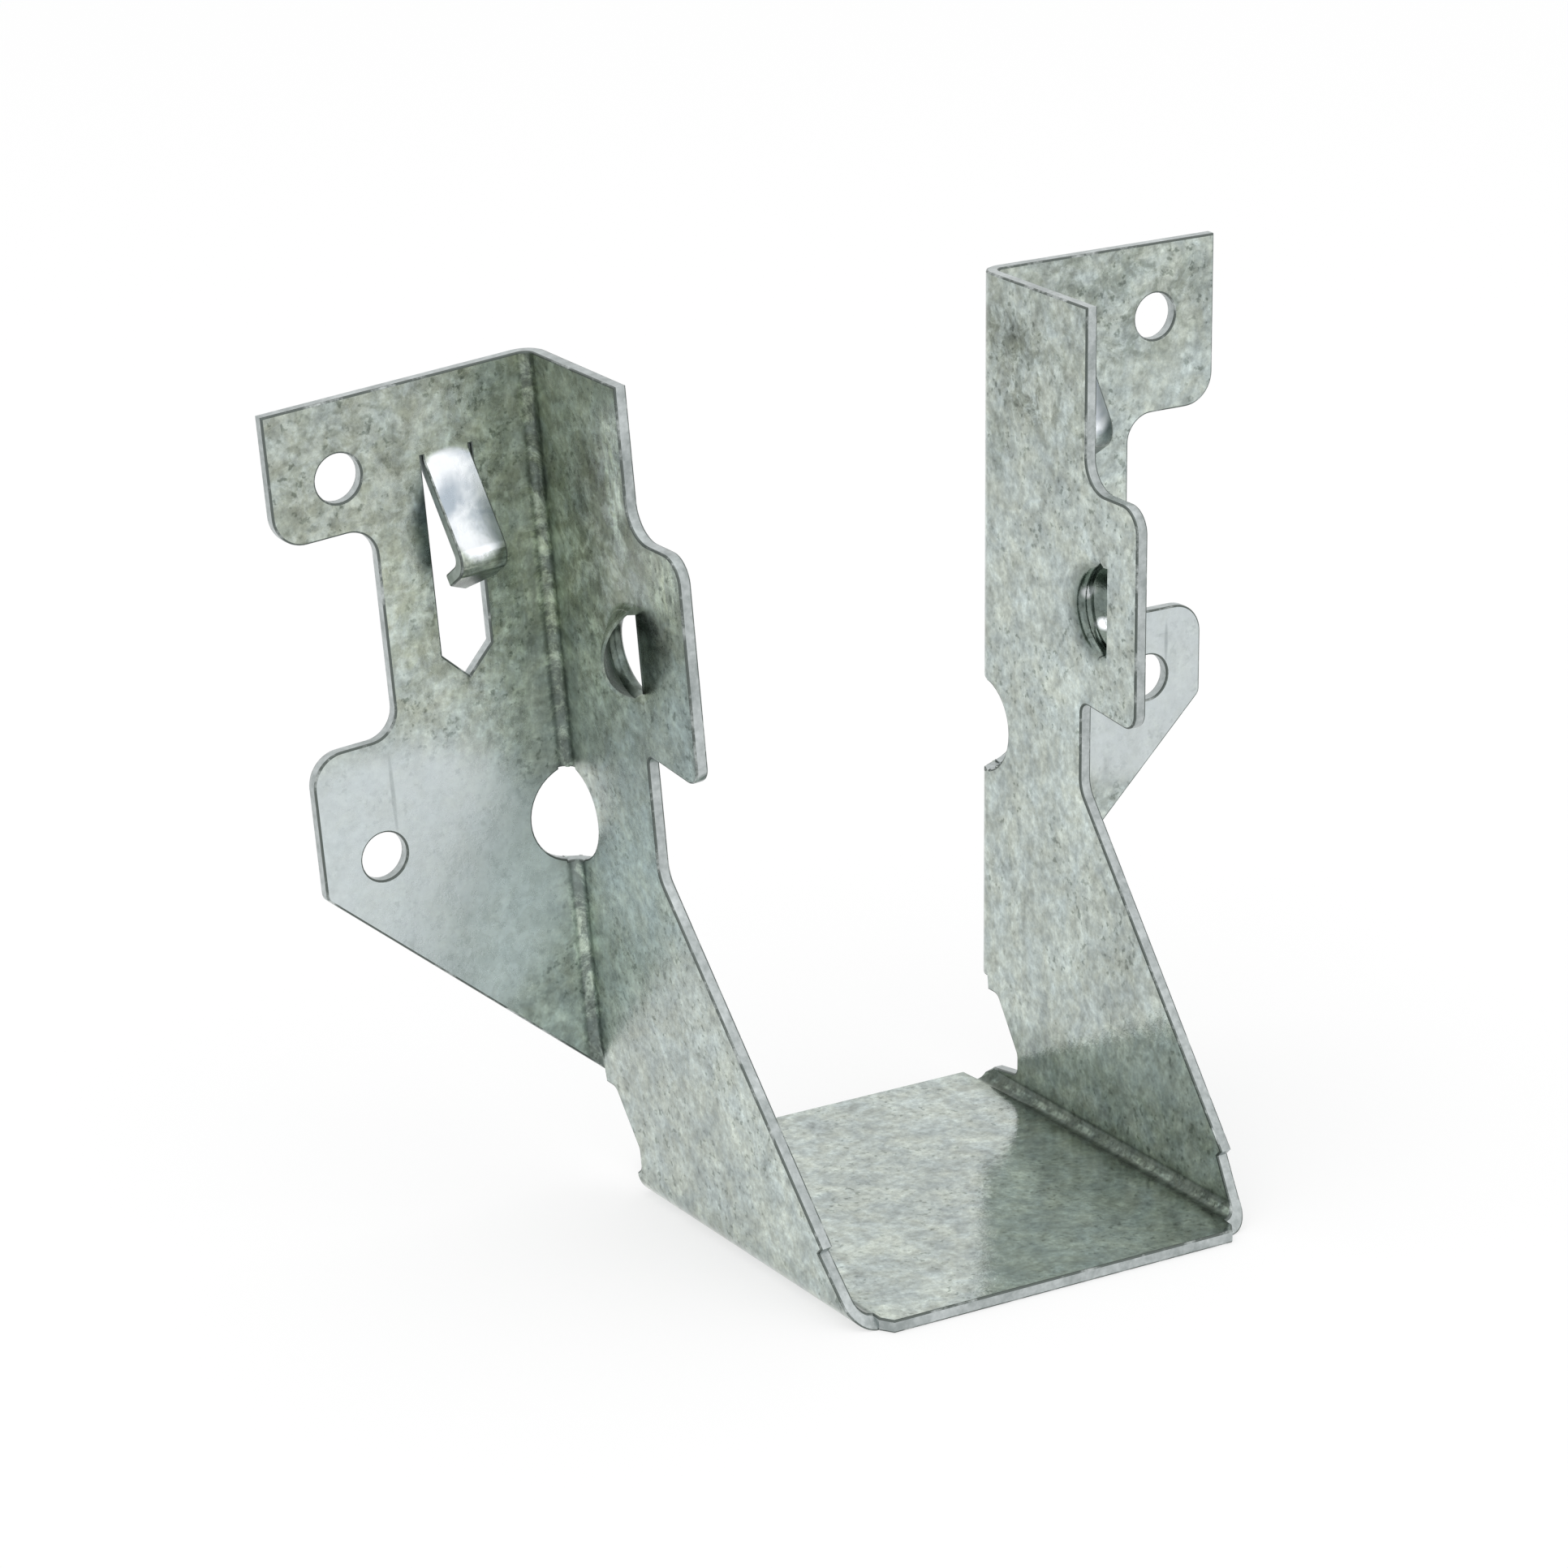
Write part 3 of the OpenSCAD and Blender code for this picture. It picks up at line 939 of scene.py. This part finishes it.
@dataclass(frozen=True)
class NailingDome:
    """One side's nailing dome, whose mouth, wall and rim are refined on the copied sheet.

    Its sizes are in millimetres, apart from the rim's, and two places a hair apart count as one.
    """

    side: Side
    radius: float = 4.2
    dish_l: float = 0.9
    height: float = 1.0
    slope: float = 0.13
    tall: float = 1.0
    drop: float = 0.65
    inside_h: float = 3.0
    thinned: float = 0.5
    rim: float = 0.9 * MM
    rim_segments: int = 4
    reach: float = 6.0
    hair: float = 0.02
    off_sheet: float = 0.05
    off_mouth: float = 0.3
    dish_share: float = 0.99
    rim_share: float = 1.15

    def reshape(self, sheet: bpy.types.Object) -> None:
        """Flattens the dish in front of the mouth, thins the stretched wall and slopes the dome to the back.

        Args:
            sheet: The copied sheet, in object mode.
        """
        side = self.side
        bowl_r = (self.radius**2 + self.dish_l**2) / (2 * self.dish_l)
        inside_r = (self.radius**2 + self.inside_h**2) / (2 * self.inside_h)
        middle = side.joist_face + side.sheet_t + self.inside_h - inside_r
        for vertex in sheet.data.vertices:
            out, forward, up = side.local(vertex.co)
            across = math.hypot(forward - side.dome_forward, up - side.dome_up)
            over = out - side.joist_face
            if abs(over) > self.reach or across > 2 * self.radius or vertex.co.x * side.hand < 0:
                continue
            past_mouth = forward > side.dome_forward - self.hair / 2
            if past_mouth and across < self.dish_share * self.radius and over < side.sheet_t:
                out += self.dish_l - bowl_r + math.sqrt(bowl_r**2 - across**2)
            elif over > side.sheet_t + self.hair / 2:
                away = Vector((out - middle, forward - side.dome_forward, up - side.dome_up))
                if abs(away.length - inside_r) < self.hair and over > side.sheet_t + self.off_sheet:
                    away *= 1 + self.thinned / inside_r
                out = middle + away.x
                forward = side.dome_forward + away.y
                up = side.dome_up + away.z
                fall = self.height * (1 - self.slope * max(side.dome_forward - forward, 0.0))
                out = side.joist_face + side.sheet_t + (out - side.joist_face - side.sheet_t) * fall
            up = side.dome_up - self.drop + (up - side.dome_up) * self.tall
            vertex.co = Vector(side.place(out, forward, up)) * MM

    def holds(self, place: Vector) -> bool:
        """Tells whether a place lies in the dome or its rim.

        Args:
            place: X, Y and Z in metres, in the part's frame.

        Returns:
            Whether it does.
        """
        out, forward, up = self.side.local(place)
        across = math.hypot(forward - self.side.dome_forward, up - self.side.dome_up + self.drop)
        near = abs(out - self.side.joist_face) < self.reach and across < self.rim_share * self.radius
        return place.x * self.side.hand > 0 and near

    def ease_rim(self, sheet: bpy.types.Object) -> None:
        """Rounds the rim of the hollow on the joist's side, behind the mouth.

        Args:
            sheet: The copied sheet, in object mode.
        """
        make_active(sheet)
        on_rim = set()
        for vertex in sheet.data.vertices:
            out, forward, up = self.side.local(vertex.co)
            rise = (up - self.side.dome_up + self.drop) / self.tall
            across = math.hypot(forward - self.side.dome_forward, rise)
            near = abs(across - self.radius) < self.hair and abs(out - self.side.joist_face) < self.hair
            behind = forward < self.side.dome_forward - self.off_mouth
            if near and behind and vertex.co.x * self.side.hand > 0:
                on_rim.add(vertex.index)
        rim_edges = {edge.index for edge in sheet.data.edges if set(edge.vertices) <= on_rim}
        bevel_edges(sheet, rim_edges, self.rim, self.rim_segments)
        LOG.info("dome rim: %d points eased", len(on_rim))


@dataclass
class FoldedSheet:
    """The hanger's folded sheet, taken from the frame and finished with eased edges."""

    node: str = "hanger"
    name: str = "folded_sheet"
    weld: float = 0.002 * MM
    flat_angle: float = math.radians(0.4)
    probe_start: float = 0.02 * MM
    probe_reach: float = 4.8 * MM
    thickest: float = 1.344 * MM
    edge_ease: float = 0.18 * MM
    edge_segments: int = 2
    corner_angle: float = math.radians(38)
    smooth_angle: float = math.radians(32)
    surface: GalvanisedFinish = field(default_factory=GalvanisedFinish)
    edges: ShearedFinish = field(default_factory=ShearedFinish)
    corners: EasedFinish = field(default_factory=EasedFinish)
    domes: tuple[NailingDome, ...] = (NailingDome(RIGHT, height=0.76), NailingDome(LEFT, tall=0.87))

    def build(self, nodes: dict[str, bpy.types.Object]) -> bpy.types.Object:
        """Models and dresses the sheet.

        Args:
            nodes: The frame's own objects, by name.

        Returns:
            The finished piece.
        """
        sheet = self._copy(nodes[self.node])
        self._weld(sheet)
        for dome in self.domes:
            dome.reshape(sheet)
            dome.ease_rim(sheet)
        for finish in (self.surface, self.edges, self.corners):
            sheet.data.materials.append(finish.material())
        self._part_edges(sheet)
        self._ease_edges(sheet)
        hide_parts(self.node)
        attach(sheet, "root")
        kinds = [face.material_index for face in sheet.data.polygons]
        counts = [kinds.count(kind) for kind in (SHEET_SLOT, CUT_SLOT, EASED_SLOT)]
        LOG.info("%s: %d sheet, %d cut and %d eased faces", self.name, *counts)
        return sheet

    def _copy(self, source: bpy.types.Object) -> bpy.types.Object:
        """Copies the frame's node with a mesh of its own.

        Args:
            source: The node.

        Returns:
            The copy, without materials.
        """
        make_active(source)
        bpy.ops.object.duplicate()
        sheet = bpy.context.object
        sheet.name = self.name
        sheet.data.name = self.name
        sheet.data.materials.clear()
        return sheet

    def _weld(self, sheet: bpy.types.Object) -> None:
        """Joins the loose triangles and makes each flat face one face.

        Args:
            sheet: The copied sheet.
        """
        make_active(sheet)
        bpy.ops.object.mode_set(mode="EDIT")
        bpy.ops.mesh.customdata_custom_splitnormals_clear()
        bpy.ops.mesh.select_all(action="SELECT")
        bpy.ops.mesh.remove_doubles(threshold=self.weld)
        bpy.ops.mesh.dissolve_limited(angle_limit=self.flat_angle)
        bpy.ops.object.mode_set(mode="OBJECT")

    def _ease_edges(self, sheet: bpy.types.Object) -> None:
        """Eases the sheared corners, between the sheet's faces and its cut edges, and smooths the rest.

        Args:
            sheet: The sheet with its cut edges marked.
        """
        make_active(sheet)
        deepest = max(vertex.co.y for vertex in sheet.data.vertices)
        beside: dict[tuple[int, int], list[bpy.types.MeshPolygon]] = {}
        for face in sheet.data.polygons:
            for key in face.edge_keys:
                beside.setdefault(key, []).append(face)
        sheared = {edge.index for edge in sheet.data.edges if self._is_corner(*beside[edge.key])}
        bevel_edges(sheet, sheared, self.edge_ease, self.edge_segments, EASED_SLOT)
        for vertex in sheet.data.vertices:
            vertex.co.y = min(vertex.co.y, deepest)
        bpy.ops.object.shade_smooth_by_angle(angle=self.smooth_angle)
        flatten = sheet.modifiers.new("flatten", "WEIGHTED_NORMAL")
        flatten.keep_sharp = True
        flatten.weight = 100
        bpy.ops.object.modifier_apply(modifier=flatten.name)

    def _is_corner(self, first: bpy.types.MeshPolygon, second: bpy.types.MeshPolygon) -> bool:
        """Tells whether one face is sheet and the other a cut edge, with a corner between them."""
        kinds = {first.material_index, second.material_index}
        return kinds == {SHEET_SLOT, CUT_SLOT} and first.normal.angle(second.normal, 0.0) > self.corner_angle

    def _part_edges(self, sheet: bpy.types.Object) -> None:
        """Gives the cut edges their own finish: there the metal behind the face is deeper than the sheet.

        Args:
            sheet: The welded sheet, all of it in the sheet's slot.
        """
        tree = BVHTree.FromPolygons(
            [v.co.copy() for v in sheet.data.vertices], [tuple(p.vertices) for p in sheet.data.polygons]
        )
        for face, middle in zip(sheet.data.polygons, self._middles(sheet)):
            if any(dome.holds(middle) for dome in self.domes):
                continue
            start = middle - face.normal * self.probe_start
            hit, _, _, depth = tree.ray_cast(start, -face.normal, self.probe_reach)
            if not hit or depth >= self.thickest:
                face.material_index = CUT_SLOT

    def _middles(self, sheet: bpy.types.Object) -> list[Vector]:
        """Finds a point well inside each face, also where the face has a notch or a hole beside it.

        Args:
            sheet: The welded sheet.

        Returns:
            The points, in the order of the faces.
        """
        mesh = sheet.data
        mesh.calc_loop_triangles()
        widest = [0.0] * len(mesh.polygons)
        middles = [Vector()] * len(mesh.polygons)
        for triangle in mesh.loop_triangles:
            face = triangle.polygon_index
            if triangle.area > widest[face]:
                widest[face] = triangle.area
                middles[face] = sum((mesh.vertices[v].co for v in triangle.vertices), Vector()) / 3
        return middles


@dataclass(frozen=True)
class Lamp:
    """A soft square lamp."""

    name: str
    place: Place
    size: float
    energy: float


@dataclass
class Studio:
    """Pale floor, soft light and the camera."""

    aim: Place = (-0.0182, -0.0055, 0.0439)
    distance: float = 0.4915
    azimuth: float = math.radians(-31.614)
    elevation: float = math.radians(19.106)
    roll: float = math.radians(-0.496)
    lens: float = 131.98
    sensor: float = 36.0
    near_clip: float = 0.01
    floor_size: float = 6.0
    floor_tone: float = 0.9
    floor_roughness: float = 0.9
    floor_white: float = 0.65
    sky: float = 1.0
    lamps: tuple[Lamp, ...] = (
        Lamp("top_lamp", (-0.1, -0.2, 0.9), 1.0, 1.6),
        Lamp("left_lamp", (-0.9, -0.35, 0.45), 0.8, 0.8),
        Lamp("front_lamp", (0.25, -0.95, 0.35), 0.8, 0.5),
    )
    lamp_aim: Place = (0.0, 0.0, 0.04)

    def build(self, low: Vector) -> None:
        """Sets up the camera, the floor, the lamps and the world.

        Args:
            low: The object's lowest corner, which stands on the floor.
        """
        self._camera()
        self._floor(low.z)
        self._lamps()
        self._world()

    def _camera(self) -> None:
        """Adds the camera at its distance from the aim."""
        back = Vector((
            math.sin(self.azimuth) * math.cos(self.elevation),
            -math.cos(self.azimuth) * math.cos(self.elevation),
            math.sin(self.elevation),
        ))
        deselect_all()
        bpy.ops.object.camera_add(location=Vector(self.aim) + back * self.distance)
        camera = bpy.context.object
        camera.name = "camera"
        turn = (-back).to_track_quat("-Z", "Y").to_matrix().to_4x4()
        camera.rotation_euler = (turn @ Matrix.Rotation(self.roll, 4, "Z")).to_euler()
        camera.data.lens = self.lens
        camera.data.sensor_width = self.sensor
        camera.data.clip_start = self.near_clip
        bpy.context.scene.camera = camera

    def _floor(self, height: float) -> None:
        """Adds the pale floor, partly as white to the camera and to reflections as the background is.

        Args:
            height: Where it lies.
        """
        deselect_all()
        bpy.ops.mesh.primitive_plane_add(size=self.floor_size, location=(0, 0, height))
        floor = bpy.context.object
        floor.name = "floor"
        material = bpy.data.materials.new("pale_floor")
        material.use_nodes = True
        tree = material.node_tree
        surface = tree.nodes["Principled BSDF"]
        surface.inputs["Base Color"].default_value = (self.floor_tone, self.floor_tone, self.floor_tone, 1)
        surface.inputs["Roughness"].default_value = self.floor_roughness
        white = tree.nodes.new("ShaderNodeEmission")
        share = tree.nodes.new("ShaderNodeMath")
        share.operation = "MULTIPLY"
        share.inputs[1].default_value = self.floor_white
        tree.links.new(self._seen_plainly(tree), share.inputs[0])
        choose = tree.nodes.new("ShaderNodeMixShader")
        tree.links.new(share.outputs["Value"], choose.inputs["Fac"])
        tree.links.new(surface.outputs["BSDF"], choose.inputs[1])
        tree.links.new(white.outputs["Emission"], choose.inputs[2])
        tree.links.new(choose.outputs["Shader"], tree.nodes["Material Output"].inputs["Surface"])
        floor.data.materials.append(material)
        floor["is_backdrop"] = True

    def _seen_plainly(self, tree: bpy.types.NodeTree) -> bpy.types.NodeSocket:
        """Adds a factor of 1 for what the camera or a reflection sees, and 0 for what only gives light.

        Args:
            tree: The node tree that it is added to.

        Returns:
            The factor.
        """
        path = tree.nodes.new("ShaderNodeLightPath")
        either = tree.nodes.new("ShaderNodeMath")
        either.operation = "MAXIMUM"
        tree.links.new(path.outputs["Is Camera Ray"], either.inputs[0])
        tree.links.new(path.outputs["Is Glossy Ray"], either.inputs[1])
        return either.outputs["Value"]

    def _lamps(self) -> None:
        """Adds the soft lamps."""
        for lamp in self.lamps:
            deselect_all()
            bpy.ops.object.light_add(type="AREA", location=lamp.place)
            light = bpy.context.object
            light.name = lamp.name
            light.data.size = lamp.size
            light.data.energy = lamp.energy
            towards = Vector(self.lamp_aim) - Vector(lamp.place)
            light.rotation_euler = towards.to_track_quat("-Z", "Y").to_euler()

    def _world(self) -> None:
        """Makes the world white to the camera and to reflections."""
        world = bpy.data.worlds.new("studio")
        bpy.context.scene.world = world
        world.use_nodes = True
        tree = world.node_tree
        tree.nodes.clear()
        output = tree.nodes.new("ShaderNodeOutputWorld")
        seen = tree.nodes.new("ShaderNodeBackground")
        seen.inputs["Color"].default_value = (1, 1, 1, 1)
        seen.inputs["Strength"].default_value = 1.0
        light = tree.nodes.new("ShaderNodeBackground")
        light.inputs["Color"].default_value = (1, 1, 1, 1)
        light.inputs["Strength"].default_value = self.sky
        choose = tree.nodes.new("ShaderNodeMixShader")
        tree.links.new(self._seen_plainly(tree), choose.inputs["Fac"])
        tree.links.new(light.outputs["Background"], choose.inputs[1])
        tree.links.new(seen.outputs["Background"], choose.inputs[2])
        tree.links.new(choose.outputs["Shader"], output.inputs["Surface"])


def corners(bounds: tuple[Vector, Vector]) -> list[list[float]]:
    """Writes a box's two corners as plain lists."""
    return [[float(c) for c in corner] for corner in bounds]


def main() -> None:
    """Builds the hanger's visual model and its studio."""
    logging.basicConfig(level=logging.INFO, format="%(name)s %(message)s")
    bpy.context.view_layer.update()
    bpy.context.scene.view_settings.view_transform = "Standard"
    FoldedSheet().build(frame["nodes"])
    Studio().build(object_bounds()[0])


if __name__ == "__main__":
    main()
